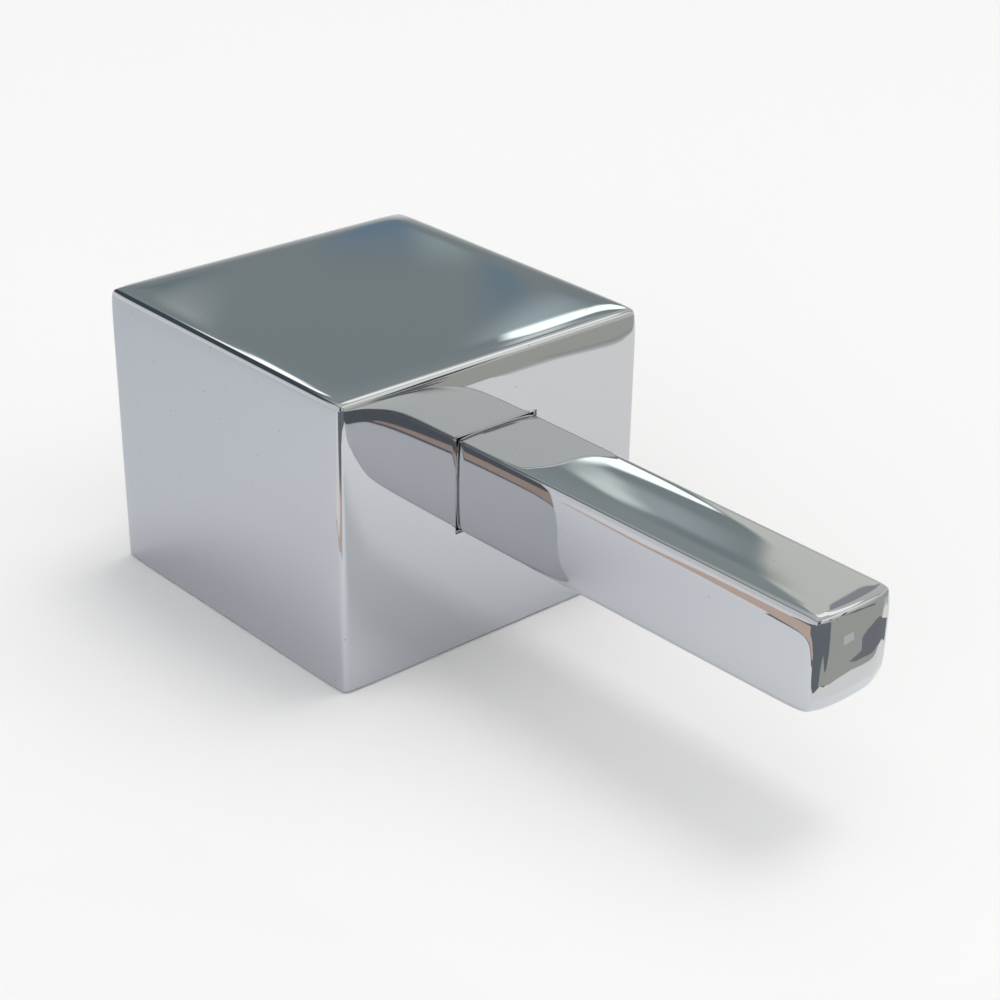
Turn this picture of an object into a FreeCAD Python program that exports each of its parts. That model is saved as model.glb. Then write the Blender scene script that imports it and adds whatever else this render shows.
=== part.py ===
# Replacement tap handle: a cube-shaped cast body with a square lever let into its front face.
# Millimetres. The origin is on the spindle axis, at the mouth of the spline bush.
# +Z is up, away from the tap, and the lever points along -Y.
import FreeCAD, Part
import Sketcher
import os
from math import cos, radians, sin

Vector = FreeCAD.Vector

# The driving sizes, in millimetres, degrees and counts. Each stands in the sheet under its name.
SIZES = {
    # Cast body
    "body_side": 40.0,
    "body_height": 32.0,
    "wall": 2.5,
    "roof": 3.0,
    "core_draft": 1.0,
    "core_corner_radius": 2.0,
    "core_roof_radius": 1.0,
    "mouth_recess": 6.0,
    "upright_edge_radius": 1.1,
    "top_edge_radius": 1.0,
    "rim_edge_radius": 0.3,
    "boss_diameter": 15.0,
    "rib_thickness": 1.8,
    "rib_lift": 5.0,
    # Lever and the socket that holds it
    "lever_width": 10.4,
    "lever_length": 48.0,
    "lever_axis_height": 19.0,
    "lever_edge_radius": 1.1,
    "lever_dome_radius": 30.0,
    "lever_pocket_depth": 0.8,
    "lever_pocket_gap": 0.12,
    "spigot_diameter": 7.0,
    "spigot_length": 9.0,
    "spigot_clearance": 0.05,
    "spigot_end_gap": 0.5,
    "spigot_flat": 0.5,
    "spigot_flat_length": 5.0,
    "socket_wall": 2.5,
    # Spline bush for the tap's spindle
    "bush_diameter": 10.0,
    "bush_length": 11.0,
    "bush_flange_diameter": 12.5,
    "bush_flange_thickness": 1.0,
    "bush_clearance": 0.04,
    "bush_end_gap": 2.0,
    "bush_flat": 0.4,
    "bush_flat_height": 6.0,
    "lead_in_diameter": 8.4,
    "lead_in_length": 2.5,
    "spline_teeth": 20,
    "spline_tip_diameter": 7.3,
    "spline_root_diameter": 8.2,
    "spline_land": 0.12,
    "slit_width": 0.8,
    # Grub screws
    "screw_clearance": 0.04,
    "screw_chamfer": 0.5,
    "screw_housing_wall": 2.0,
    "spindle_screw_diameter": 5.0,
    "spindle_screw_length": 8.0,
    "spindle_screw_key": 2.5,
    "spindle_screw_key_depth": 2.5,
    "spindle_screw_height": 6.0,
    "lever_screw_diameter": 4.0,
    "lever_screw_length": 5.0,
    "lever_screw_key": 2.0,
    "lever_screw_key_depth": 2.2,
    "lever_screw_setback": 5.5,
    "lever_screw_recess": 0.5,
}

# How far a cutting outline starts outside the material
OVERRUN = 0.5

# Heights and places that several pieces share, as expressions of the sheet
HALF_SIDE = "sizes.body_side / 2"
ROOF_UNDERSIDE = "(sizes.body_height - sizes.roof - sizes.mouth_recess)"
LEVER_AXIS = "(sizes.lever_axis_height - sizes.mouth_recess)"
BEHIND_FACE = "(sizes.body_side / 2 - sizes.wall / 2)"
POCKET_FLOOR = "(sizes.body_side / 2 - sizes.lever_pocket_depth)"
LEVER_SCREW_PLACE = "(sizes.body_side / 2 - sizes.lever_screw_setback)"
LEVER_SCREW_TIP = f"({LEVER_AXIS} - sizes.spigot_diameter / 2 + sizes.spigot_flat)"
LEVER_SCREW_FOOT = f"({LEVER_SCREW_TIP} - sizes.lever_screw_length - sizes.lever_screw_recess)"
BUSH_RADIUS = "(sizes.bush_diameter / 2 - sizes.bush_clearance)"
BUSH_FLAT_PLACE = f"({BUSH_RADIUS} - sizes.bush_flat)"

document = FreeCAD.newDocument("tap_handle")
sheet = document.addObject("Spreadsheet::Sheet", "sizes")


def fill_sheet():
    """Write each driving size into its own cell, with its name as the alias."""
    for row, (name, value) in enumerate(SIZES.items(), start=1):
        sheet.set(f"A{row}", name)
        sheet.set(f"B{row}", str(value))
        sheet.setAlias(f"B{row}", name)
    document.recompute()


# Helpers for bodies, sketches and features

def new_body(name):
    body = document.addObject("PartDesign::Body", name)
    body.Label = name
    return body


def new_sketch(body, name, role, offset="0", raised="0"):
    """A sketch on an origin plane, moved along the plane's normal and up its own vertical axis."""
    sketch = body.newObject("Sketcher::SketchObject", name)
    plane = next(item for item in body.Origin.OriginFeatures if item.Role == role)
    sketch.AttachmentSupport = (plane, [""])
    sketch.MapMode = "FlatFace"
    sketch.setExpression("AttachmentOffset.Base.z", offset)
    sketch.setExpression("AttachmentOffset.Base.y", raised)
    return sketch


def bind(sketch, constraint, expression):
    """Add a dimension and tie it to an expression of the sheet."""
    index = sketch.addConstraint(constraint)
    sketch.setExpression(f"Constraints[{index}]", expression)


def add_rectangle(sketch, left, right, low, high):
    """A rectangle whose sides lie at four places, measured from the sketch's origin."""
    corners = [Vector(-1, -1, 0), Vector(1, -1, 0), Vector(1, 1, 0), Vector(-1, 1, 0)]
    lines = [sketch.addGeometry(Part.LineSegment(corners[n], corners[(n + 1) % 4])) for n in range(4)]
    for n in range(4):
        sketch.addConstraint(Sketcher.Constraint("Coincident", lines[n], 2, lines[(n + 1) % 4], 1))
        sketch.addConstraint(Sketcher.Constraint("Vertical" if n % 2 else "Horizontal", lines[n]))
    bottom, top = lines[0], lines[2]
    bind(sketch, Sketcher.Constraint("DistanceX", -1, 1, bottom, 1, -1.0), left)
    bind(sketch, Sketcher.Constraint("DistanceY", -1, 1, bottom, 1, -1.0), low)
    bind(sketch, Sketcher.Constraint("DistanceX", -1, 1, top, 1, 1.0), right)
    bind(sketch, Sketcher.Constraint("DistanceY", -1, 1, top, 1, 1.0), high)


def add_square(sketch, side):
    """A square about the sketch's origin."""
    add_rectangle(sketch, f"-({side}) / 2", f"({side}) / 2", f"-({side}) / 2", f"({side}) / 2")


def add_circle(sketch, diameter, height=None):
    """A circle on the sketch's vertical axis: at its origin, or at a height."""
    circle = sketch.addGeometry(Part.Circle(Vector(0, 1, 0), Vector(0, 0, 1), 1))
    bind(sketch, Sketcher.Constraint("Diameter", circle, 2.0), diameter)
    if height is None:
        sketch.addConstraint(Sketcher.Constraint("Coincident", circle, 3, -1, 1))
        return
    sketch.addConstraint(Sketcher.Constraint("PointOnObject", circle, 3, -2))
    bind(sketch, Sketcher.Constraint("DistanceY", -1, 1, circle, 3, 1.0), height)


def add_polygon(sketch, places):
    """A closed outline through points whose two places are expressions."""
    count = len(places)
    spread = [Vector(cos(radians(360 / count * n)), sin(radians(360 / count * n)), 0) for n in range(count)]
    lines = [sketch.addGeometry(Part.LineSegment(spread[n], spread[(n + 1) % count])) for n in range(count)]
    for n, (across, up) in enumerate(places):
        sketch.addConstraint(Sketcher.Constraint("Coincident", lines[n - 1], 2, lines[n], 1))
        bind(sketch, Sketcher.Constraint("DistanceX", -1, 1, lines[n], 1, spread[n].x), across)
        bind(sketch, Sketcher.Constraint("DistanceY", -1, 1, lines[n], 1, spread[n].y), up)


def pad(body, sketch, length, forward=True):
    """Material along the sketch's normal, or against it."""
    feature = body.newObject("PartDesign::Pad", sketch.Name.replace("_outline", ""))
    feature.Profile = sketch
    feature.Reversed = not forward
    feature.setExpression("Length", length)
    document.recompute()
    return feature


def pocket(body, sketch, depth, forward=False):
    """A cut against the sketch's normal, or along it. It has to take something away."""
    volume = body.Shape.Volume
    feature = body.newObject("PartDesign::Pocket", sketch.Name.replace("_outline", ""))
    feature.Profile = sketch
    feature.Reversed = forward
    feature.setExpression("Length", depth)
    document.recompute()
    if not body.Shape.Volume < volume:
        raise RuntimeError(f"{feature.Name} cuts nothing")
    return feature


def edges_where(body, test):
    """The names of the tip's edges that pass a test."""
    return [f"Edge{n}" for n, edge in enumerate(body.Tip.Shape.Edges, start=1) if test(edge)]


def dress(body, kind, name, test, size, setting):
    """A fillet or chamfer on the edges that pass a test."""
    base, edges = body.Tip, edges_where(body, test)
    feature = body.newObject(f"PartDesign::{kind}", name)
    feature.Base = (base, edges)
    feature.setExpression(setting, size)
    document.recompute()
    return feature


def fillet(body, name, test, radius):
    return dress(body, "Fillet", name, test, radius, "Radius")


def chamfer(body, name, test, size):
    return dress(body, "Chamfer", name, test, size, "Size")


def ends_match(edge, test):
    return all(test(vertex.Point) for vertex in edge.Vertexes)


def is_near(value, place):
    return abs(value - place) < 1e-4


# Cast body

def add_outer_block(body):
    """The cube with its buffed edges."""
    base = -sheet.mouth_recess
    top = sheet.body_height - sheet.mouth_recess
    plan = new_sketch(body, "block_outline", "XY_Plane", "-sizes.mouth_recess")
    add_square(plan, "sizes.body_side")
    pad(body, plan, "sizes.body_height")
    fillet(body, "upright_edges", lambda edge: is_near(edge.Length, top - base)
           and not is_near(edge.Vertexes[0].Z, edge.Vertexes[1].Z), "sizes.upright_edge_radius")
    fillet(body, "top_edges", lambda edge: ends_match(edge, lambda p: is_near(p.z, top)),
           "sizes.top_edge_radius")
    fillet(body, "rim_edges", lambda edge: ends_match(edge, lambda p: is_near(p.z, base)),
           "sizes.rim_edge_radius")


def draft_core(body):
    """The hollow narrows towards the roof, so that the casting leaves its core."""
    inside = sheet.body_side / 2 - sheet.wall
    base = body.Tip
    walls, rim = [], None
    for number, face in enumerate(base.Shape.Faces, start=1):
        box = face.BoundBox
        if is_near(box.ZMax, -sheet.mouth_recess):
            rim = f"Face{number}"
        elif box.XMin > -inside - 0.01 and box.XMax < inside + 0.01 and box.ZLength > sheet.roof:
            walls.append(f"Face{number}")
    draft = body.newObject("PartDesign::Draft", "core_draft")
    draft.Base = (base, walls)
    draft.NeutralPlane = (base, [rim])
    draft.Reversed = True
    draft.setExpression("Angle", "sizes.core_draft")
    document.recompute()


def add_hollow(body):
    """The drafted hollow, open below, with rounded corners."""
    plan = new_sketch(body, "hollow_outline", "XY_Plane", "-sizes.mouth_recess")
    add_square(plan, "sizes.body_side - 2 * sizes.wall")
    pocket(body, plan, "sizes.body_height - sizes.roof", forward=True)
    inside = sheet.body_side / 2 - sheet.wall
    fillet(body, "core_corners", lambda edge: not is_near(edge.Vertexes[0].Z, edge.Vertexes[-1].Z)
           and ends_match(edge, lambda p: abs(p.x) < inside + 0.01 and abs(p.y) < inside + 0.01),
           "sizes.core_corner_radius")
    draft_core(body)
    under_roof = sheet.body_height - sheet.roof - sheet.mouth_recess
    fillet(body, "core_roof_edges", lambda edge: ends_match(edge, lambda p: is_near(p.z, under_roof)),
           "sizes.core_roof_radius")


def add_boss_and_ribs(body):
    """The spindle boss under the roof, with a rib to each side wall and one to the back wall."""
    half_roof = "sizes.roof / 2"
    inside_roof = f"{ROOF_UNDERSIDE} + {half_roof}"
    rib_drop = f"{ROOF_UNDERSIDE} + {half_roof} - sizes.bush_flange_thickness - sizes.rib_lift"
    cross = new_sketch(body, "side_ribs_outline", "XY_Plane", inside_roof)
    add_rectangle(cross, f"-{BEHIND_FACE}", BEHIND_FACE, "-sizes.rib_thickness / 2", "sizes.rib_thickness / 2")
    pad(body, cross, rib_drop, forward=False)
    back = new_sketch(body, "back_rib_outline", "XY_Plane", inside_roof)
    add_rectangle(back, "-sizes.rib_thickness / 2", "sizes.rib_thickness / 2", "0", BEHIND_FACE)
    pad(body, back, f"{inside_roof} - sizes.spindle_screw_height", forward=False)
    boss = new_sketch(body, "boss_outline", "XY_Plane", inside_roof)
    add_circle(boss, "sizes.boss_diameter")
    pad(body, boss, f"{inside_roof} - sizes.bush_flange_thickness", forward=False)


def add_lever_socket(body):
    """The thick web behind the front wall that takes the lever's spigot, and its screw column."""
    radius = "(sizes.spigot_diameter / 2 + sizes.spigot_clearance + sizes.socket_wall)"
    web = new_sketch(body, "socket_web_outline", "XZ_Plane", BEHIND_FACE)
    add_rectangle(web, f"-{radius}", radius, LEVER_AXIS, f"{ROOF_UNDERSIDE} + sizes.roof / 2")
    pad(body, web, BEHIND_FACE, forward=False)
    tube = new_sketch(body, "socket_tube_outline", "XZ_Plane", BEHIND_FACE)
    add_circle(tube, f"2 * {radius}", LEVER_AXIS)
    pad(body, tube, BEHIND_FACE, forward=False)
    column = new_sketch(body, "screw_column_outline", "XY_Plane", LEVER_AXIS)
    add_circle(column, "sizes.lever_screw_diameter + 2 * sizes.screw_housing_wall", f"-{LEVER_SCREW_PLACE}")
    pad(body, column, f"{LEVER_AXIS} - {LEVER_SCREW_FOOT}", forward=False)


def add_screw_tube(body):
    """The tube from the back wall to the boss that guides the spindle's grub screw."""
    tube = new_sketch(body, "screw_tube_outline", "XZ_Plane")
    add_circle(tube, "sizes.spindle_screw_diameter + 2 * sizes.screw_housing_wall", "sizes.spindle_screw_height")
    pad(body, tube, BEHIND_FACE, forward=False)


def cut_bores(body):
    """The bush's seat, the lever's pocket and socket, and both screw holes."""
    seat = new_sketch(body, "bush_seat_outline", "XY_Plane", "sizes.bush_flange_thickness")
    add_circle(seat, "sizes.bush_diameter")
    pocket(body, seat, "sizes.bush_length - sizes.bush_flange_thickness + sizes.bush_end_gap", forward=True)
    recess = new_sketch(body, "lever_pocket_outline", "XZ_Plane", HALF_SIDE, LEVER_AXIS)
    add_square(recess, "sizes.lever_width + 2 * sizes.lever_pocket_gap")
    pocket(body, recess, "sizes.lever_pocket_depth")
    socket = new_sketch(body, "spigot_socket_outline", "XZ_Plane", POCKET_FLOOR)
    add_circle(socket, "sizes.spigot_diameter + 2 * sizes.spigot_clearance", LEVER_AXIS)
    pocket(body, socket, "sizes.spigot_length + sizes.spigot_end_gap")
    tapped = new_sketch(body, "lever_screw_hole_outline", "XY_Plane", LEVER_SCREW_FOOT)
    add_circle(tapped, "sizes.lever_screw_diameter", f"-{LEVER_SCREW_PLACE}")
    pocket(body, tapped, f"{LEVER_AXIS} - {LEVER_SCREW_FOOT}", forward=True)
    cross = new_sketch(body, "spindle_screw_hole_outline", "XZ_Plane", f"-{HALF_SIDE}")
    add_circle(cross, "sizes.spindle_screw_diameter", "sizes.spindle_screw_height")
    pocket(body, cross, HALF_SIDE, forward=True)


def make_handle_body():
    body = new_body("handle_body")
    add_outer_block(body)
    add_hollow(body)
    add_boss_and_ribs(body)
    add_lever_socket(body)
    add_screw_tube(body)
    cut_bores(body)
    return body


# Lever

def add_bar_outline(sketch):
    """The bar seen from above: straight sides, a square root and an arched free end."""
    half, root = sheet.lever_width / 2, -(sheet.body_side / 2 - sheet.lever_pocket_depth)
    tip = -(sheet.body_side / 2 + sheet.lever_length)
    dome = sheet.lever_dome_radius
    shoulder = tip + dome - (dome ** 2 - half ** 2) ** 0.5
    left, right = Vector(-half, shoulder, 0), Vector(half, shoulder, 0)
    near = sketch.addGeometry(Part.LineSegment(Vector(half, root, 0), Vector(-half, root, 0)))
    west = sketch.addGeometry(Part.LineSegment(Vector(-half, root, 0), left))
    end = sketch.addGeometry(Part.Arc(left, Vector(0, tip, 0), right))
    east = sketch.addGeometry(Part.LineSegment(right, Vector(half, root, 0)))
    for joint in ((near, 2, west, 1), (west, 2, end, 1), (end, 2, east, 1), (east, 2, near, 1)):
        sketch.addConstraint(Sketcher.Constraint("Coincident", *joint))
    sketch.addConstraint(Sketcher.Constraint("Horizontal", near))
    sketch.addConstraint(Sketcher.Constraint("Vertical", west))
    sketch.addConstraint(Sketcher.Constraint("Vertical", east))
    sketch.addConstraint(Sketcher.Constraint("PointOnObject", end, 3, -2))
    bind(sketch, Sketcher.Constraint("DistanceX", -1, 1, west, 1, -half), "-sizes.lever_width / 2")
    bind(sketch, Sketcher.Constraint("DistanceX", -1, 1, east, 2, half), "sizes.lever_width / 2")
    bind(sketch, Sketcher.Constraint("DistanceY", -1, 1, near, 1, root), f"-{POCKET_FLOOR}")
    bind(sketch, Sketcher.Constraint("Radius", end, dome), "sizes.lever_dome_radius")
    bind(sketch, Sketcher.Constraint("DistanceY", -1, 1, end, 3, tip + dome),
         f"sizes.lever_dome_radius - {HALF_SIDE} - sizes.lever_length")


def make_lever():
    """Square bar with an arched end and, behind its root, a round spigot with a flat."""
    body = new_body("lever")
    plan = new_sketch(body, "bar_outline", "XY_Plane", f"{LEVER_AXIS} - sizes.lever_width / 2")
    add_bar_outline(plan)
    pad(body, plan, "sizes.lever_width")
    root = -(sheet.body_side / 2 - sheet.lever_pocket_depth)
    fillet(body, "bar_edges", lambda edge: not ends_match(edge, lambda p: is_near(p.y, root)),
           "sizes.lever_edge_radius")
    spigot = new_sketch(body, "spigot_outline", "XZ_Plane", POCKET_FLOOR)
    add_circle(spigot, "sizes.spigot_diameter", LEVER_AXIS)
    pad(body, spigot, "sizes.spigot_length", forward=False)
    seat = new_sketch(body, "spigot_flat_outline", "XY_Plane", LEVER_SCREW_TIP)
    half_flat = "sizes.spigot_flat_length / 2"
    add_rectangle(seat, "-sizes.spigot_diameter", "sizes.spigot_diameter",
                  f"-{LEVER_SCREW_PLACE} - {half_flat}", f"-{LEVER_SCREW_PLACE} + {half_flat}")
    pocket(body, seat, "sizes.spigot_diameter")
    return body


# Spline bush

def make_spline_bush():
    """Split brass bush: a flanged tube with serrations inside and a plain lead-in at its mouth."""
    body = new_body("spline_bush")
    tube = new_sketch(body, "tube_outline", "XY_Plane")
    add_circle(tube, f"2 * {BUSH_RADIUS}")
    pad(body, tube, "sizes.bush_length")
    flange = new_sketch(body, "flange_outline", "XY_Plane")
    add_circle(flange, "sizes.bush_flange_diameter")
    pad(body, flange, "sizes.bush_flange_thickness")
    bore = new_sketch(body, "bore_outline", "XY_Plane")
    add_circle(bore, "sizes.spline_tip_diameter")
    pocket(body, bore, "sizes.bush_length", forward=True)
    groove = new_sketch(body, "groove_outline", "XY_Plane")
    tip, root = "sizes.spline_tip_diameter / 2", "sizes.spline_root_diameter / 2"
    wide = "(pi * sizes.spline_tip_diameter / sizes.spline_teeth - sizes.spline_land) / 2"
    narrow = "sizes.spline_land / 2"
    below = f"{tip} - {OVERRUN}"
    add_polygon(groove, [(wide, below), (wide, tip), (narrow, root),
                         (f"-{narrow}", root), (f"-{wide}", tip), (f"-{wide}", below)])
    cut = pocket(body, groove, "sizes.bush_length", forward=True)
    pattern = body.newObject("PartDesign::PolarPattern", "serrations")
    pattern.Originals = [cut]
    pattern.Axis = (groove, ["N_Axis"])
    pattern.Angle = 360
    pattern.setExpression("Occurrences", "sizes.spline_teeth")
    body.Tip = pattern
    document.recompute()
    lead_in = new_sketch(body, "lead_in_outline", "XY_Plane")
    add_circle(lead_in, "sizes.lead_in_diameter")
    pocket(body, lead_in, "sizes.lead_in_length", forward=True)
    slit = new_sketch(body, "slit_outline", "XY_Plane")
    add_rectangle(slit, "0", "sizes.bush_flange_diameter", "-sizes.slit_width / 2", "sizes.slit_width / 2")
    pocket(body, slit, "sizes.bush_length", forward=True)
    flat = new_sketch(body, "screw_flat_outline", "XZ_Plane", f"-{BUSH_FLAT_PLACE}")
    half_flat = "sizes.bush_flat_height / 2"
    add_rectangle(flat, "-sizes.bush_diameter / 2", "sizes.bush_diameter / 2",
                  f"sizes.spindle_screw_height - {half_flat}", f"sizes.spindle_screw_height + {half_flat}")
    pocket(body, flat, "sizes.bush_diameter")
    return body


# Grub screws

def make_grub_screw(name, size, tip):
    """A hex-socket grub screw, made upright with its tip at the top, and its tip then placed."""
    diameter = f"sizes.{size}_diameter"
    length = f"sizes.{size}_length"
    key = f"sizes.{size}_key"
    body = new_body(name)
    shank = new_sketch(body, "shank_outline", "XY_Plane")
    add_circle(shank, f"{diameter} - 2 * sizes.screw_clearance")
    pad(body, shank, length, forward=False)
    chamfer(body, "ends", lambda edge: len(edge.Vertexes) == 1, "sizes.screw_chamfer")
    hexagon = new_sketch(body, "key_outline", "XY_Plane", f"-{length}")
    corner = f"{key} / 2 / cos(30)"
    add_polygon(hexagon, [(f"{corner} * cos({60 * n})", f"{corner} * sin({60 * n})") for n in range(6)])
    pocket(body, hexagon, f"{key}_depth", forward=True)
    body.Placement = tip["placement"]
    for axis, place in tip["places"].items():
        body.setExpression(f"Placement.Base.{axis}", place)
    document.recompute()
    return body


def make_screws():
    upright = {"placement": FreeCAD.Placement(),
               "places": {"y": f"-{LEVER_SCREW_PLACE}", "z": LEVER_SCREW_TIP}}
    towards_axis = FreeCAD.Placement(Vector(), FreeCAD.Rotation(Vector(1, 0, 0), 90))
    lying = {"placement": towards_axis,
             "places": {"y": BUSH_FLAT_PLACE, "z": "sizes.spindle_screw_height"}}
    return [make_grub_screw("lever_set_screw", "lever_screw", upright),
            make_grub_screw("spindle_grub_screw", "spindle_screw", lying)]


def check_objects(pieces):
    """Stop if any feature failed, or any piece isn't one valid solid."""
    for item in document.Objects:
        if "Invalid" in item.State or "Error" in item.State:
            raise RuntimeError(f"{item.Name} failed")
    for piece in pieces:
        shape = piece.Shape
        if shape.isNull() or not shape.isValid() or len(shape.Solids) != 1:
            raise RuntimeError(f"{piece.Label} is not one valid solid")


def main():
    fill_sheet()
    pieces = [make_handle_body(), make_lever(), make_spline_bush()] + make_screws()
    document.recompute()
    check_objects(pieces)
    os.makedirs("parts", exist_ok=True)
    for piece in pieces:
        piece.Shape.exportStep(f"parts/{piece.Label}.step")
        print(f"{piece.Label}: {piece.Shape.Volume:.1f} mm3, {len(piece.Shape.Faces)} faces")


main()
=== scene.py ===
"""Dresses the tap handle: chrome housing and lever, brass bush, steel screws, and the studio."""

import math

import bmesh
import bpy
from bpy.props import FloatProperty, FloatVectorProperty, PointerProperty
from mathutils import Matrix, Vector


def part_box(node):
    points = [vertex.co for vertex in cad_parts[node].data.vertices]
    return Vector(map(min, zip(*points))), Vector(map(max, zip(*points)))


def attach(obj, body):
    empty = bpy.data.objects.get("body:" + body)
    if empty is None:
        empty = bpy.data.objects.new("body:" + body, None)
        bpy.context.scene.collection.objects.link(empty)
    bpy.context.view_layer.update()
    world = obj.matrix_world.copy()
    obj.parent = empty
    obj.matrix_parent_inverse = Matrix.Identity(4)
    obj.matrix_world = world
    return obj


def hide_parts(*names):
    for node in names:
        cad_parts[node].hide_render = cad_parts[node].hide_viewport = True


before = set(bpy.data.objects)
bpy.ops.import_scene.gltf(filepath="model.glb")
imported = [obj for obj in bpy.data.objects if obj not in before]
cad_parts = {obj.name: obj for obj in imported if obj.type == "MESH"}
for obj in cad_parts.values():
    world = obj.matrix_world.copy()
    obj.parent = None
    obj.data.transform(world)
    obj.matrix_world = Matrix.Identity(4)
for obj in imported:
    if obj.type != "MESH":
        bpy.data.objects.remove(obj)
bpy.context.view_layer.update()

bl_info = {
    "name": "Tap Handle",
    "version": (1, 0, 0),
    "blender": (4, 5, 0),
    "location": "View3D > Sidebar > Tap Handle",
    "description": "Builds the looks of a cube-shaped chrome tap handle and its studio",
    "category": "Object",
}

MM = 0.001
BODY_LOW, BODY_HIGH = (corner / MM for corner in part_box("handle_body"))
LEVER_LOW, LEVER_HIGH = (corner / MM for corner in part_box("lever"))
RIM_HEIGHT = BODY_LOW.z
FACE_Y = BODY_LOW.y
POCKET_DEPTH = 0.8
LEVER_MIDDLE = (LEVER_LOW.z + LEVER_HIGH.z) / 2
GROOVE_WIDTH = 0.2  # the worn mouth of the pocket is wider than its bottom
GROOVE_DEPTH = 0.2  # past this depth the pocket closes on the lever, so the groove has a floor
GROOVE_FLOOR = 0.005  # depth over which it closes
GROOVE_REST = 0.01  # gap that is left behind its floor
MERGE = 1e-7  # metres within which two corners are one
TOUCH = 1e-3  # millimetres within which a corner lies on a plane
SLACK = 0.01  # millimetres by which a test reaches past the place that it means
SKIN = 0.1  # millimetres behind a face within which an edge belongs to an opening in it
ASIDE = 0.4  # millimetres beside the lever within which a corner belongs to its pocket
PUSH = 2.0  # millimetres by which a hollow is drawn out through its opening
SHARP = 1.0  # radians between two faces from which their edge is rounded


def linear(code):
    """Turns an sRGB hex colour such as #C4C6C8 into linear red, green, blue and 1."""
    levels = [int(code[i:i + 2], 16) / 255 for i in (1, 3, 5)]
    return [v / 12.92 if v <= 0.04045 else ((v + 0.055) / 1.055) ** 2.4 for v in levels] + [1.0]


def add_node(tree, kind, settings=None, values=None, links=None):
    """Adds one node: its settings, the values of its inputs, and the outputs that feed its inputs."""
    node = tree.nodes.new(kind)
    for name, value in (settings or {}).items():
        setattr(node, name, value)
    for name, value in (values or {}).items():
        node.inputs[name].default_value = value
    for name, output in (links or {}).items():
        tree.links.new(output, node.inputs[name])
    return node


# Sizes and colours that a user would change.

class HandleShape(bpy.types.PropertyGroup):
    """How far the buffing wheel has worn the flat faces down towards their edges."""
    upright_wear: FloatProperty(
        name="Upright edge wear", description="Depth that an upright edge's corner is worn back",
        default=0.22 * MM, min=0.0, max=1 * MM, unit="LENGTH", precision=5)
    top_wear: FloatProperty(
        name="Top edge wear", description="Depth that a top edge's corner is worn back",
        default=0.16 * MM, min=0.0, max=1 * MM, unit="LENGTH", precision=5)
    lever_wear: FloatProperty(
        name="Lever edge wear", description="Depth that a long edge of the lever is worn back",
        default=0.2 * MM, min=0.0, max=1 * MM, unit="LENGTH", precision=5)
    dome_radius: FloatProperty(
        name="End dome radius", description="Radius of the domed end of the lever",
        default=30 * MM, min=6 * MM, max=200 * MM, unit="LENGTH")
    rim_edge: FloatProperty(
        name="Rim edge", description="Width of the small rounding round the foot of the housing",
        default=0.3 * MM, min=0.05 * MM, max=1 * MM, unit="LENGTH", precision=5)
    bush_edge: FloatProperty(
        name="Bush edge", description="Width of the tiny flats that the lathe leaves on the bush's edges",
        default=0.03 * MM, min=0.005 * MM, max=0.1 * MM, unit="LENGTH", precision=5)
    mouth_edge: FloatProperty(
        name="Pocket edge", description="Width of the small rounding where the lever enters the housing",
        default=0.09 * MM, min=0.02 * MM, max=0.15 * MM, unit="LENGTH", precision=5)


class HandleFinish(bpy.types.PropertyGroup):
    """Colours of the metals."""
    chrome: FloatVectorProperty(
        name="Chrome", description="Colour of the buffed chromium plating", subtype="COLOR",
        size=4, default=linear("#CACBCD"), min=0, max=1)
    casting: FloatVectorProperty(
        name="Inside", description="Colour of the thinly plated casting inside the housing",
        subtype="COLOR", size=4, default=linear("#97989A"), min=0, max=1)
    brass: FloatVectorProperty(
        name="Brass", description="Colour of the turned brass bush", subtype="COLOR",
        size=4, default=linear("#C9A25B"), min=0, max=1)
    steel: FloatVectorProperty(
        name="Steel", description="Colour of the hardened steel screws", subtype="COLOR",
        size=4, default=linear("#6A6B6E"), min=0, max=1)


class StudioSetup(bpy.types.PropertyGroup):
    """The floor and the lights."""
    floor_colour: FloatVectorProperty(
        name="Floor", description="Colour of the matt floor", subtype="COLOR",
        size=4, default=linear("#F7F4F4"), min=0, max=1)
    floor_radius: FloatProperty(
        name="Floor radius", description="Radius of the round floor",
        default=1.5, min=0.3, max=10, unit="LENGTH")
    wall_height: FloatProperty(
        name="Backdrop height", description="Height of the wall round the floor",
        default=1.2, min=0.1, max=10, unit="LENGTH")
    softbox_power: FloatProperty(
        name="Overhead power", description="Power of the soft light overhead",
        default=10.2, min=0, max=200, unit="POWER")
    key_power: FloatProperty(
        name="Right power", description="Power of the soft light high on the right",
        default=3.8, min=0, max=200, unit="POWER")
    fill_power: FloatProperty(
        name="Left power", description="Power of the soft light from the left front",
        default=9.0, min=0, max=200, unit="POWER")


# Shaping tools.

def work_on(piece):
    """Leaves only this piece selected and active."""
    if bpy.context.object and bpy.context.object.mode != "OBJECT":
        bpy.ops.object.mode_set(mode="OBJECT")
    bpy.ops.object.select_all(action="DESELECT")
    piece.select_set(True)
    bpy.context.view_layer.objects.active = piece


def start_block(name, low, high):
    """A block between two corners in millimetres, as the start of a piece."""
    bpy.ops.object.select_all(action="DESELECT")
    bpy.ops.mesh.primitive_cube_add(
        size=1, location=(low + high) / 2 * MM, scale=(high - low) * MM)
    piece = bpy.context.object
    piece.name = piece.data.name = name
    bpy.ops.object.transform_apply(location=True, rotation=True, scale=True)
    return piece


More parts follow.
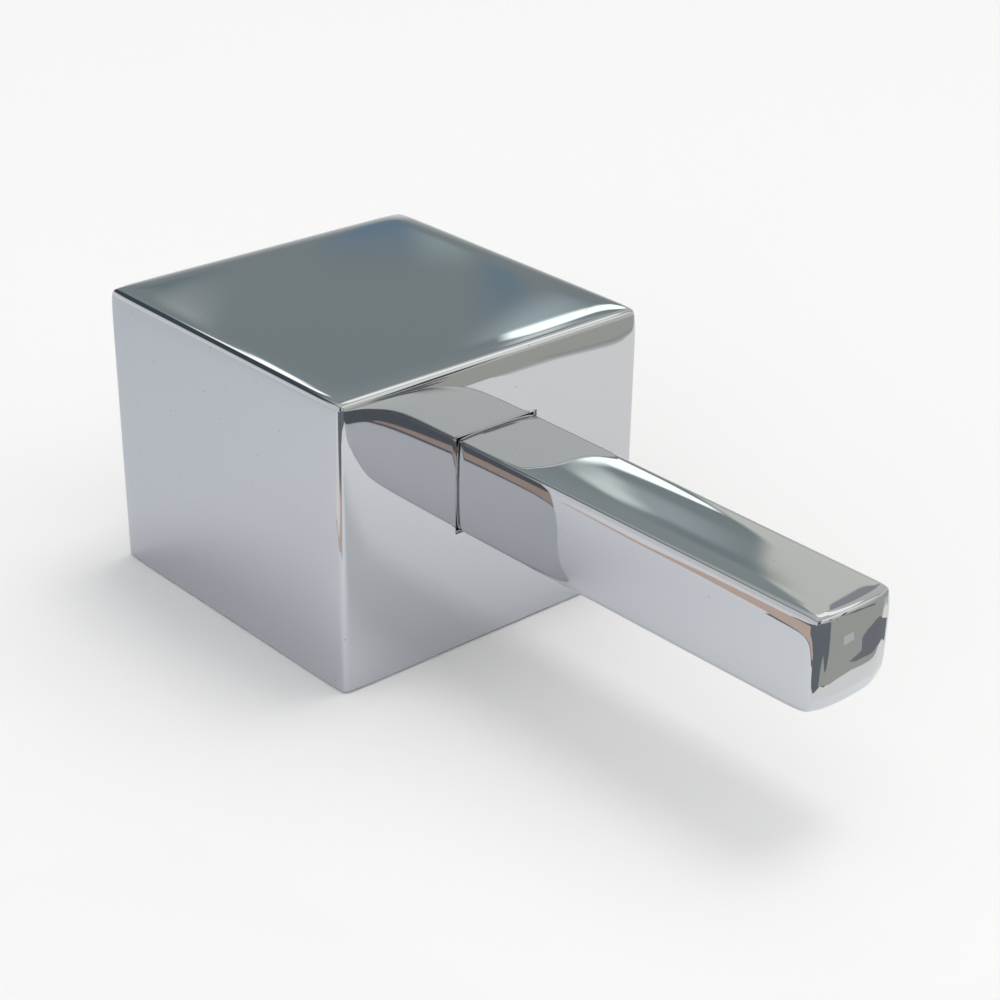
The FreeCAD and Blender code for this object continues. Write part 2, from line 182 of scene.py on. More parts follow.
def copy_node(name, node):
    """A copy of a CAD node's mesh with its loose triangles merged."""
    piece = bpy.data.objects.new(name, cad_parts[node].data.copy())
    bpy.context.collection.objects.link(piece)
    piece.data.materials.clear()
    work_on(piece)
    bpy.ops.object.mode_set(mode="EDIT")
    bpy.ops.mesh.select_all(action="SELECT")
    bpy.ops.mesh.remove_doubles(threshold=MERGE)
    bpy.ops.mesh.customdata_custom_splitnormals_clear()
    bpy.ops.object.mode_set(mode="OBJECT")
    return piece


def pick(piece, kind, test):
    """In edit mode, selects the vertices, edges or faces that pass the test, and nothing else."""
    bpy.ops.mesh.select_mode(type=kind)
    bpy.ops.mesh.select_all(action="DESELECT")
    form = bmesh.from_edit_mesh(piece.data)
    for item in {"VERT": form.verts, "EDGE": form.edges, "FACE": form.faces}[kind]:
        if test(item):
            item.select_set(True)
    bmesh.update_edit_mesh(piece.data)


def cut_rings(piece, axis, places):
    """In edit mode, cuts edge rings square to an axis at places in millimetres."""
    normal = [0.0, 0.0, 0.0]
    normal[axis] = 1.0
    for place in places:
        bpy.ops.mesh.select_all(action="SELECT")
        bpy.ops.mesh.bisect(plane_co=[n * place * MM for n in normal], plane_no=normal, threshold=MERGE)


def cut_off(piece, axis, place, side):
    """In edit mode, cuts the piece square to an axis, takes off the part on one side and closes the cut."""
    normal = [0.0, 0.0, 0.0]
    normal[axis] = float(side)
    bpy.ops.mesh.select_all(action="SELECT")
    bpy.ops.mesh.bisect(
        plane_co=[abs(n) * place * MM for n in normal], plane_no=normal, clear_outer=True, use_fill=True,
        threshold=MERGE)


def close_openings(piece, test, push):
    """In edit mode, draws the open edges that pass the test out by a step in mm and closes them."""
    pick(piece, "EDGE", lambda e: e.is_boundary and test(e))
    bpy.ops.mesh.extrude_region_move(TRANSFORM_OT_translate={"value": [p * MM for p in push]})
    bpy.ops.mesh.edge_face_add()


def apply_modifier(piece, kind, **settings):
    """Adds a modifier with its settings and applies it."""
    work_on(piece)
    bpy.ops.object.modifier_add(type=kind)
    modifier = piece.modifiers[-1]
    for name, value in settings.items():
        setattr(modifier, name, value)
    bpy.ops.object.modifier_apply(modifier=modifier.name)


def combine(piece, tool, operation, solver="EXACT"):
    """Cuts the tool from the piece, joins it on or keeps what both share, and removes the tool."""
    apply_modifier(piece, "BOOLEAN", operation=operation, object=tool, solver=solver,
                   material_mode="TRANSFER")
    bpy.data.objects.remove(tool)


def wear(profile, distance):
    """Depth worn away at a distance from an edge, read from (distance, depth) steps."""
    for (near, deep), (far, shallow) in zip(profile, profile[1:]):
        if distance <= far:
            return deep + (shallow - deep) * (distance - near) / (far - near)
    return 0.0


def finish_piece(piece, node, angle=35):
    """Clears slivers left by the cuts, smooths the curves and makes the piece stand for its CAD node."""
    work_on(piece)
    bpy.ops.object.mode_set(mode="EDIT")
    bpy.ops.mesh.select_all(action="SELECT")
    bpy.ops.mesh.dissolve_degenerate(threshold=MERGE)
    bpy.ops.object.mode_set(mode="OBJECT")
    bpy.ops.object.shade_smooth_by_angle(angle=math.radians(angle))
    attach(piece, "root")
    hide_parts(node)


# The housing.

UPRIGHT_WEAR = [(0.0, 1.0), (1.0, 0.59), (2.4, 0.16), (4.4, 0.0)]  # distance in mm, share of the wear
TOP_WEAR = [(0.0, 1.0), (1.3, 0.36), (2.6, 0.05), (4.4, 0.0)]
FRONT_TOP_GROWTH = 1.0  # extra share of wear at the top of the front face, growing to its right end
BELOW_RIM = 4.0  # mm that the block reaches below the rim, where it is cut off once it is smooth
SIDE_RINGS = (1.0, 2.4, 4.4, 12.0)  # mm from the sides
FOOT_RINGS = (-2.5, -1.0, 5.0)  # mm above the rim
BODY_RINGS = (6.0, 14.0, 20.0)  # mm above the spindle bush's mouth
TOP_RINGS = (2.6, 1.3)  # mm below the top


def make_housing_skin(shape):
    """The solid outside of the housing: a block whose faces lean in near their buffed edges."""
    half = BODY_HIGH.x
    piece = start_block("handle_body_buffed", BODY_LOW - Vector((0, 0, BELOW_RIM)), BODY_HIGH)
    upright = [(d, s * shape.upright_wear / MM) for d, s in UPRIGHT_WEAR]
    top = [(d, s * shape.top_wear / MM) for d, s in TOP_WEAR]
    work_on(piece)
    bpy.ops.object.mode_set(mode="EDIT")
    sides = [half - d for d in SIDE_RINGS]
    for axis in (0, 1):
        cut_rings(piece, axis, [-s for s in sides] + [0.0] + sides)
    cut_rings(piece, 2, [RIM_HEIGHT + d for d in FOOT_RINGS])
    cut_rings(piece, 2, BODY_RINGS)
    cut_rings(piece, 2, [BODY_HIGH.z - d for d in TOP_RINGS])
    bpy.ops.object.mode_set(mode="OBJECT")
    for vertex in piece.data.vertices:
        place = vertex.co / MM
        gap = (half - abs(place.x), half - abs(place.y), BODY_HIGH.z - place.z)
        growth = (1, 1 + FRONT_TOP_GROWTH * max(0.0, place.x / half) * (place.y < 0), 1)
        drop = Vector()
        for a in range(3):
            if gap[a] > TOUCH:
                continue
            for b in range(3):
                if b != a:
                    drop[a] += wear(top, gap[b]) * growth[a] if 2 in (a, b) else wear(upright, gap[b])
        place -= Vector((math.copysign(drop.x, place.x), math.copysign(drop.y, place.y), drop.z))
        vertex.co = place * MM
    apply_modifier(piece, "SUBSURF", levels=3, render_levels=3, boundary_smooth="ALL")
    bpy.ops.object.mode_set(mode="EDIT")
    cut_off(piece, 2, RIM_HEIGHT, -1)
    pick(piece, "EDGE", lambda e: all(abs(v.co.z / MM - RIM_HEIGHT) < TOUCH for v in e.verts)
         and e.is_manifold and e.calc_face_angle(0) > SHARP)
    bpy.ops.mesh.bevel(offset=shape.rim_edge, segments=3, affect="EDGES", offset_type="OFFSET")
    bpy.ops.object.mode_set(mode="OBJECT")
    return piece


def make_housing_void():
    """The space inside the housing, taken from the CAD node: the hollow, the bores, the lever's pocket."""
    piece = copy_node("housing_void", "handle_body")
    bpy.ops.object.mode_set(mode="EDIT")
    top = (BODY_HIGH.z - SLACK) * MM
    pick(piece, "FACE", lambda f: f.normal.z > 0.9 and f.calc_center_median().z > top)
    bpy.ops.mesh.faces_select_linked_flat(sharpness=math.radians(50))
    bpy.ops.mesh.delete(type="FACE")
    bpy.ops.mesh.select_mode(type="VERT")
    bpy.ops.mesh.select_all(action="SELECT")
    bpy.ops.mesh.delete_loose()
    low, front, back = (RIM_HEIGHT + 0.5) * MM, (FACE_Y + SKIN) * MM, (-FACE_Y - SKIN) * MM
    close_openings(piece, lambda e: all(v.co.z < low for v in e.verts), (0, 0, -PUSH))
    close_openings(piece, lambda e: all(v.co.y < front for v in e.verts), (0, -PUSH, 0))
    close_openings(piece, lambda e: all(v.co.y > back for v in e.verts), (0, PUSH, 0))
    floor = FACE_Y + GROOVE_DEPTH
    reach = LEVER_HIGH.x
    for place in (floor, floor + GROOVE_FLOOR):
        bpy.ops.mesh.select_all(action="SELECT")
        bpy.ops.mesh.bisect(plane_co=(0, place * MM, 0), plane_no=(0, 1, 0), threshold=MERGE)
    bpy.ops.mesh.select_all(action="SELECT")
    bpy.ops.mesh.normals_make_consistent(inside=False)
    bpy.ops.object.mode_set(mode="OBJECT")
    for vertex in piece.data.vertices:
        x, y, z = vertex.co / MM
        across = max(abs(x), abs(z - LEVER_MIDDLE))
        if y < FACE_Y + POCKET_DEPTH + SLACK and reach < across < reach + ASIDE:
            share = (reach + (GROOVE_REST if y > floor + GROOVE_FLOOR / 2 else GROOVE_WIDTH)) / across
            vertex.co = Vector((x * share, y, LEVER_MIDDLE + (z - LEVER_MIDDLE) * share)) * MM
    return piece


def ease_pocket_mouth(piece, width):
    """Plates the walls of the lever's pocket like the face and rounds the edge of its mouth."""
    reach = LEVER_HIGH.x + ASIDE

    def near_lever(place, depth):
        return place.y < FACE_Y + depth and max(abs(place.x), abs(place.z - LEVER_MIDDLE)) < reach

    def on_mouth(edge):
        return (edge.is_manifold and edge.calc_face_angle(0) > SHARP
                and all(near_lever(v.co / MM, SKIN) for v in edge.verts))

    for face in piece.data.polygons:
        if near_lever(face.center / MM, POCKET_DEPTH + SLACK):
            face.material_index = 0
    work_on(piece)
    bpy.ops.object.mode_set(mode="EDIT")
    pick(piece, "EDGE", on_mouth)
    bpy.ops.mesh.bevel(offset=width, segments=3, affect="EDGES", offset_type="OFFSET")
    bpy.ops.object.mode_set(mode="OBJECT")
    for vertex in piece.data.vertices:
        vertex.co.y = max(vertex.co.y, FACE_Y * MM)


class TAPHANDLE_OT_housing(bpy.types.Operator):
    """Build the buffed chrome housing with its hollow casting inside"""
    bl_idname = "tap_handle.housing"
    bl_label = "Housing"

    def execute(self, context):
        finish = context.scene.tap_handle_finish
        piece = make_housing_skin(context.scene.tap_handle_shape)
        piece.data.materials.append(buffed_chrome("Buffed chromium plating on the housing", finish.chrome))
        void = make_housing_void()
        void.data.materials.append(plated_casting(finish.casting))
        combine(piece, void, "DIFFERENCE")
        ease_pocket_mouth(piece, context.scene.tap_handle_shape.mouth_edge)
        finish_piece(piece, "handle_body")
        return {"FINISHED"}


# The lever.

LEVER_WEAR = [(0.0, 1.0), (0.6, 0.6), (2.0, 0.15), (3.6, 0.0)]  # distance in mm, share of the edge's wear
ROOT_SHARE, TIP_SHARE = 0.75, 1.15  # the long edges are crisper at the root and softer at the tip
TIP_SUPPORT = 1.2  # mm from a long edge to the ring that holds its shape at the tip
END_RINGS = (0.8, 1.8, 3.6, 7.0, 14.0, 24.0, 34.0, 44.0)  # mm from the tip
BEHIND_ROOT = 4.0  # mm that the block reaches behind the root, where it is cut off once it is smooth
ROOT_RINGS = (1.5, 2.8)  # mm behind the root
END_WEAR = [(0.0, 0.2), (0.8, 0.05), (1.8, 0.0)]  # distance from the end's edge and wear, in mm
LOWER_END_WEAR = 0.3  # extra wear in mm where the end meets the underside
LOWER_END_REACH = 2.4  # mm over which that wear fades
DOME_REACH = 9.0  # mm over which the dome fades along the bar


def make_lever_bar(shape):
    """The square bar: its long edges are rounder towards the domed end."""
    half = LEVER_HIGH.x
    tip = LEVER_LOW.y
    root = FACE_Y + POCKET_DEPTH
    centre = Vector((0, 0, LEVER_MIDDLE))
    low, high = Vector((-half, tip, LEVER_LOW.z)), Vector((half, root + BEHIND_ROOT, LEVER_HIGH.z))
    piece = start_block("lever_buffed", low, high)
    side = [(d, s * shape.lever_wear / MM) for d, s in LEVER_WEAR]
    work_on(piece)
    bpy.ops.object.mode_set(mode="EDIT")
    rings = [half - d for d, _ in LEVER_WEAR[1:]]
    rings = [-r for r in rings] + [0.0] + rings
    cut_rings(piece, 0, rings)
    cut_rings(piece, 2, [LEVER_MIDDLE + r for r in rings])
    cut_rings(piece, 1, [tip + d for d in END_RINGS] + [root + d for d in ROOT_RINGS])
    bpy.ops.object.mode_set(mode="OBJECT")
    for vertex in piece.data.vertices:
        place = vertex.co / MM - centre
        gap = (half - abs(place.x), place.y - tip, half - abs(place.z))
        along = min(1.0, max(0.0, (root - place.y) / (root - tip)))
        share = ROOT_SHARE + (TIP_SHARE - ROOT_SHARE) * along
        low_end = max(0.0, 1 - (place.z + half) / LOWER_END_REACH) * max(0.0, 1 - gap[1] / LOWER_END_REACH)
        drop = Vector()
        for a in (0, 2):
            if gap[a] < TOUCH:
                drop[a] = wear(side, gap[2 - a]) * share + wear(END_WEAR, gap[1])
            elif abs(gap[a] - LEVER_WEAR[1][0]) < TOUCH:
                drop[a] = (TIP_SUPPORT - LEVER_WEAR[1][0]) * along
        dome = place.x ** 2 / (2 * shape.dome_radius / MM) * max(0.0, 1 - gap[1] / DOME_REACH)
        drop.y = -dome - low_end * LOWER_END_WEAR
        if gap[1] < TOUCH:
            drop.y -= wear(END_WEAR, gap[0]) + wear(END_WEAR, gap[2])
        place -= Vector((math.copysign(drop.x, place.x), drop.y, math.copysign(drop.z, place.z)))
        place.z += low_end * LOWER_END_WEAR
        vertex.co = (place + centre) * MM
    apply_modifier(piece, "SUBSURF", levels=3, render_levels=3, boundary_smooth="ALL")
    bpy.ops.object.mode_set(mode="EDIT")
    cut_off(piece, 1, root, 1)
    bpy.ops.object.mode_set(mode="OBJECT")
    return piece


def make_spigot():
    """The round spigot behind the bar, taken from the CAD node."""
    piece = copy_node("lever_spigot", "lever")
    root = (FACE_Y + POCKET_DEPTH) * MM
    bpy.ops.object.mode_set(mode="EDIT")
    pick(piece, "FACE", lambda f: f.calc_center_median().y < root + 1e-5)
    bpy.ops.mesh.delete(type="FACE")
    bpy.ops.mesh.select_mode(type="VERT")
    bpy.ops.mesh.select_all(action="SELECT")
    bpy.ops.mesh.delete_loose()
    close_openings(piece, lambda e: True, (0, -PUSH, 0))
    bpy.ops.mesh.select_all(action="SELECT")
    bpy.ops.mesh.normals_make_consistent(inside=False)
    bpy.ops.object.mode_set(mode="OBJECT")
    return piece


class TAPHANDLE_OT_lever(bpy.types.Operator):
    """Build the buffed chrome lever with its spigot"""
    bl_idname = "tap_handle.lever"
    bl_label = "Lever"

    def execute(self, context):
        piece = make_lever_bar(context.scene.tap_handle_shape)
        finish = context.scene.tap_handle_finish
        chrome = buffed_chrome("Buffed chromium plating on the lever", finish.chrome)
        piece.data.materials.append(chrome)
        spigot = make_spigot()
        spigot.data.materials.append(chrome)
        combine(piece, spigot, "UNION")
        finish_piece(piece, "lever")
        return {"FINISHED"}


# The metals. A pattern's scale is one over its real size.

def new_metal(name, colour, roughness):
    """A metal material with its colour and roughness on the shader, ready for its pattern."""
    material = bpy.data.materials.new(name)
    material.use_nodes = True
    tree = material.node_tree
    shader = next(n for n in tree.nodes if n.type == "BSDF_PRINCIPLED")
    shader.inputs["Base Color"].default_value = colour
    shader.inputs["Metallic"].default_value = 1.0
    shader.inputs["Roughness"].default_value = roughness
    return material, tree, shader


def dimmed(colour, share):
    """The colour with a share of its brightness."""
    return [share * c for c in colour[:3]] + [1.0]


def buffed_chrome(name, colour):
    """Mirror-bright plating: the cloth wheel has left faint waves some 6 mm long.

    A few specks of dust lie on it, drawn a little larger than dust is, so that they show.
    """
    material, tree, shader = new_metal(name, colour, 0.03)
    place = add_node(tree, "ShaderNodeTexCoord")
    waves = add_node(tree, "ShaderNodeTexNoise", {"noise_dimensions": "3D"},
                     {"Scale": 1 / (6 * MM), "Detail": 1.0}, {"Vector": place.outputs["Object"]})
    bump = add_node(tree, "ShaderNodeBump", None, {"Strength": 0.2, "Distance": 0.002 * MM},
                    {"Height": waves.outputs["Fac"]})
    tree.links.new(bump.outputs["Normal"], shader.inputs["Normal"])
    cells = add_node(tree, "ShaderNodeTexVoronoi", None, {"Scale": 1 / (1.3 * MM)},
                     {"Vector": place.outputs["Object"]})
    spots = add_node(tree, "ShaderNodeMapRange", None,
                     {"From Min": 0.04, "From Max": 0.1, "To Min": 1.0, "To Max": 0.0},
                     {"Value": cells.outputs["Distance"]})
    chance = add_node(tree, "ShaderNodeMath", {"operation": "GREATER_THAN"}, {1: 0.72},
                      {0: cells.outputs["Color"]})
    dust = add_node(tree, "ShaderNodeMath", {"operation": "MULTIPLY"}, None,
                    {0: spots.outputs["Result"], 1: chance.outputs["Value"]})
    haze = add_node(tree, "ShaderNodeMapRange", None, {"To Min": 0.03, "To Max": 0.3},
                    {"Value": dust.outputs["Value"]})
    tree.links.new(haze.outputs["Result"], shader.inputs["Roughness"])
    dulled = add_node(tree, "ShaderNodeMix", {"data_type": "RGBA"}, {6: colour, 7: dimmed(colour, 0.6)},
                      {0: dust.outputs["Value"]})
    tree.links.new(dulled.outputs[2], shader.inputs["Base Color"])
    return material


def plated_casting(colour):
    """Zinc casting with only a thin flash of plating inside: satin grey with a fine sand-like grain."""
    material, tree, shader = new_metal("Thinly plated zinc casting", colour, 0.42)
    place = add_node(tree, "ShaderNodeTexCoord")
    grain = add_node(tree, "ShaderNodeTexNoise", None, {"Scale": 1 / (0.35 * MM), "Detail": 3.0},
                     {"Vector": place.outputs["Object"]})
    bump = add_node(tree, "ShaderNodeBump", None, {"Strength": 0.35, "Distance": 0.05 * MM},
                    {"Height": grain.outputs["Fac"]})
    tree.links.new(bump.outputs["Normal"], shader.inputs["Normal"])
    return material


def turned_brass(colour):
    """Brass from the lathe: warm yellow, with turning rings 0.12 mm apart that spread its highlights."""
    material, tree, shader = new_metal("Turned brass", colour, 0.3)
    place = add_node(tree, "ShaderNodeTexCoord")
    parts = add_node(tree, "ShaderNodeSeparateXYZ", None, None, {"Vector": place.outputs["Object"]})
    flat = add_node(tree, "ShaderNodeCombineXYZ", None, None,
                    {"X": parts.outputs["X"], "Y": parts.outputs["Y"]})
    radius = add_node(tree, "ShaderNodeVectorMath", {"operation": "LENGTH"}, None,
                      {0: flat.outputs["Vector"]})
    travel = add_node(tree, "ShaderNodeMath", {"operation": "ADD"}, None,
                      {0: radius.outputs["Value"], 1: parts.outputs["Z"]})
    rings = add_node(tree, "ShaderNodeTexNoise", {"noise_dimensions": "1D"},
                     {"Scale": 1 / (0.12 * MM), "Detail": 2.0}, {"W": travel.outputs["Value"]})
    bump = add_node(tree, "ShaderNodeBump", None, {"Strength": 0.5, "Distance": 0.01 * MM},
                    {"Height": rings.outputs["Fac"]})
    tree.links.new(bump.outputs["Normal"], shader.inputs["Normal"])
    stains = add_node(tree, "ShaderNodeTexNoise", None, {"Scale": 1 / (2.5 * MM), "Detail": 3.0},
                      {"Vector": place.outputs["Object"]})
    tone = add_node(tree, "ShaderNodeMix", {"data_type": "RGBA"}, {6: dimmed(colour, 0.72), 7: colour},
                    {0: stains.outputs["Fac"]})
    tree.links.new(tone.outputs[2], shader.inputs["Base Color"])
    return material


def hardened_steel(colour):
    """Plain hardened steel, dark grey and satin: heat has left it slightly uneven in tone and sheen."""
    material, tree, shader = new_metal("Plain hardened steel", colour, 0.38)
    place = add_node(tree, "ShaderNodeTexCoord")
    clouds = add_node(tree, "ShaderNodeTexNoise", None, {"Scale": 1 / (1.5 * MM), "Detail": 3.0},
                      {"Vector": place.outputs["Object"]})
    tone = add_node(tree, "ShaderNodeMix", {"data_type": "RGBA"}, {6: dimmed(colour, 0.6), 7: colour},
                    {0: clouds.outputs["Fac"]})
    tree.links.new(tone.outputs[2], shader.inputs["Base Color"])
    sheen = add_node(tree, "ShaderNodeMapRange", None, {"To Min": 0.3, "To Max": 0.48},
                     {"Value": clouds.outputs["Fac"]})
    tree.links.new(sheen.outputs["Result"], shader.inputs["Roughness"])
    grain = add_node(tree, "ShaderNodeTexNoise", None, {"Scale": 1 / (0.08 * MM), "Detail": 2.0},
                     {"Vector": place.outputs["Object"]})
    bump = add_node(tree, "ShaderNodeBump", None, {"Strength": 0.3, "Distance": 0.01 * MM},
                    {"Height": grain.outputs["Fac"]})
    tree.links.new(bump.outputs["Normal"], shader.inputs["Normal"])
    return material


# The bush and the screws.

class TAPHANDLE_OT_bush(bpy.types.Operator):
    """Build the turned brass bush with its serrations"""
    bl_idname = "tap_handle.bush"
    bl_label = "Bush"

    def execute(self, context):
        piece = copy_node("spline_bush_turned", "spline_bush")
        piece.data.materials.append(turned_brass(context.scene.tap_handle_finish.brass))
        apply_modifier(piece, "BEVEL", width=context.scene.tap_handle_shape.bush_edge, segments=2,
                       limit_method="ANGLE", angle_limit=math.radians(35))
        finish_piece(piece, "spline_bush")
        return {"FINISHED"}


# A standard M4 and a standard M5 screw, in millimetres.
THREAD_PITCH = {"lever_set_screw": 0.7, "spindle_grub_screw": 0.8}
KEY_WIDTH = {"lever_set_screw": 2.0, "spindle_grub_screw": 2.5}
KEY_DEPTH = {"lever_set_screw": 2.2, "spindle_grub_screw": 2.5}
THREAD_STEPS = 32
THREAD_DEPTH = 0.61  # in pitches
THREAD_OUTLINE = ((0, 0.14), (1, 0.37), (0, 0.12), (-1, 0.37))  # steps out in depths and up in pitches
SCREW_CHAMFER = 0.5


def make_thread(radius, length, pitch):
    """A threaded rod along +Z from the origin: a thread's outline, drawn from one point and wound up."""
    depth = THREAD_DEPTH * pitch
    bpy.ops.mesh.primitive_plane_add(size=MM, location=(0, 0, 0))
    piece = bpy.context.object
    bpy.ops.object.mode_set(mode="EDIT")
    bpy.ops.mesh.select_mode(type="VERT")
    bpy.ops.mesh.select_all(action="SELECT")
    bpy.ops.mesh.merge(type="CENTER")
    bpy.ops.transform.translate(value=((radius - depth) * MM, 0, -1.5 * pitch * MM))
    for out, up in THREAD_OUTLINE:
        step = (out * depth * MM, 0, up * pitch * MM)
        bpy.ops.mesh.extrude_vertices_move(TRANSFORM_OT_translate={"value": step})
    turns = math.ceil(length / pitch) + 3
    apply_modifier(piece, "SCREW", angle=math.tau, screw_offset=pitch * MM, iterations=turns,
                   steps=THREAD_STEPS, render_steps=THREAD_STEPS, use_smooth_shade=False)
    bpy.ops.object.mode_set(mode="EDIT")
    bpy.ops.mesh.select_all(action="SELECT")
    bpy.ops.mesh.remove_doubles(threshold=MERGE)
    cut_off(piece, 2, 0.0, -1)
    cut_off(piece, 2, length, 1)
    bpy.ops.mesh.select_all(action="SELECT")
    bpy.ops.mesh.normals_make_consistent(inside=False)
    bpy.ops.object.mode_set(mode="OBJECT")
    return piece


def start_rod(vertices, radius, low, high):
    """A round or many-sided rod along Z between two heights in millimetres."""
    bpy.ops.object.select_all(action="DESELECT")
    bpy.ops.mesh.primitive_cylinder_add(
        vertices=vertices, radius=radius * MM, depth=(high - low) * MM,
        location=(0, 0, (low + high) / 2 * MM))
    piece = bpy.context.object
    bpy.ops.object.transform_apply(location=True, rotation=True, scale=True)
    return piece


def make_grub_screw(node, steel):
    """A grub screw: its thread, its chamfered ends and its hexagon socket, laid in the CAD node's place."""
    low, high = (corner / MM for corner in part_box(node))
    axis = max(range(3), key=lambda a: high[a] - low[a])
    length = high[axis] - low[axis]
    radius = (high.x - low.x) / 2
    key = KEY_WIDTH[node]
    piece = make_thread(radius, length, THREAD_PITCH[node])
    piece.name = piece.data.name = f"{node}_threaded"
    hull = start_rod(64, radius, 0.0, length)
    work_on(hull)
    bpy.ops.object.mode_set(mode="EDIT")
    pick(hull, "EDGE", lambda e: abs(e.verts[0].co.z - e.verts[1].co.z) < MERGE)
    bpy.ops.mesh.bevel(offset=SCREW_CHAMFER * MM, segments=1, affect="EDGES", offset_type="OFFSET")
    bpy.ops.object.mode_set(mode="OBJECT")
    combine(piece, hull, "INTERSECT", "MANIFOLD")
    socket = start_rod(6, key / 2 / math.cos(math.radians(30)), -1.0, KEY_DEPTH[node])
    combine(piece, socket, "DIFFERENCE", "MANIFOLD")
    work_on(piece)
    bpy.ops.object.mode_set(mode="EDIT")
    bpy.ops.mesh.select_all(action="SELECT")
    middle = (low + high) / 2
    if axis == 1:
        bpy.ops.transform.rotate(value=math.radians(-90), orient_axis="X", center_override=(0, 0, 0))
        bpy.ops.transform.translate(value=(0, high.y * MM, middle.z * MM))
    else:
        bpy.ops.transform.translate(value=(0, middle.y * MM, low.z * MM))
    bpy.ops.object.mode_set(mode="OBJECT")
    piece.data.materials.clear()
    piece.data.materials.append(steel)
    finish_piece(piece, node)


class TAPHANDLE_OT_screws(bpy.types.Operator):
    """Build the two threaded grub screws"""
    bl_idname = "tap_handle.screws"
    bl_label = "Screws"

    def execute(self, context):
        steel = hardened_steel(context.scene.tap_handle_finish.steel)
        for node in THREAD_PITCH:
            make_grub_screw(node, steel)
        return {"FINISHED"}


# The studio.

CAMERA_PLACE = Vector((-0.13154515, -0.16730667, 0.10852326))
CAMERA_AXES = ((0.738233, 0.308233, -0.600004), (-0.674125, 0.368556, -0.640095),
               (0.023837, 0.877017, 0.479868))
CAMERA_LENS = 77.1107
CAMERA_SHIFT = (-0.04, 0.08)


def make_camera():
    """The camera, as far off and as high as the photograph's."""
    bpy.ops.object.camera_add()
    camera = bpy.context.object
    camera.name = "camera"
    camera.matrix_world = Matrix.Translation(CAMERA_PLACE) @ Matrix(CAMERA_AXES).to_4x4()
    camera.data.sensor_width = 36
    camera.data.lens = CAMERA_LENS
    camera.data.shift_x, camera.data.shift_y = CAMERA_SHIFT
    camera.data.clip_start, camera.data.clip_end = 0.01, 50
    bpy.context.scene.camera = camera


def matt_sheet(name, colour, roughness):
    """A matt material of one shade for the floor and the cards."""
    material = bpy.data.materials.new(name)
    material.use_nodes = True
    shader = next(n for n in material.node_tree.nodes if n.type == "BSDF_PRINCIPLED")
    shader.inputs["Base Color"].default_value = colour
    shader.inputs["Roughness"].default_value = roughness
    return material, shader


def make_floor(setup):
    """A large round matt floor at the rim's height, and a wall round it that only the camera sees."""
    bpy.ops.object.select_all(action="DESELECT")
    bpy.ops.mesh.primitive_circle_add(
        vertices=128, radius=setup.floor_radius, fill_type="NGON", location=(0, 0, RIM_HEIGHT * MM))
    floor = bpy.context.object
    floor.name = "floor"
    bpy.ops.object.transform_apply(location=True, rotation=True, scale=True)
    material, _ = matt_sheet("Matt white board", setup.floor_colour, 0.9)
    floor.data.materials.append(material)
    bpy.ops.object.select_all(action="DESELECT")
    bpy.ops.mesh.primitive_cylinder_add(
        vertices=128, radius=setup.floor_radius, depth=setup.wall_height, end_fill_type="NOTHING",
        location=(0, 0, RIM_HEIGHT * MM + setup.wall_height / 2))
    wall = bpy.context.object
    wall.name = "backdrop"
    bpy.ops.object.transform_apply(location=True, rotation=True, scale=True)
    bpy.ops.object.mode_set(mode="EDIT")
    bpy.ops.mesh.select_all(action="SELECT")
    bpy.ops.mesh.flip_normals()
    bpy.ops.object.mode_set(mode="OBJECT")
    wall.data.materials.append(material)
    wall.visible_diffuse = wall.visible_glossy = wall.visible_transmission = wall.visible_shadow = False


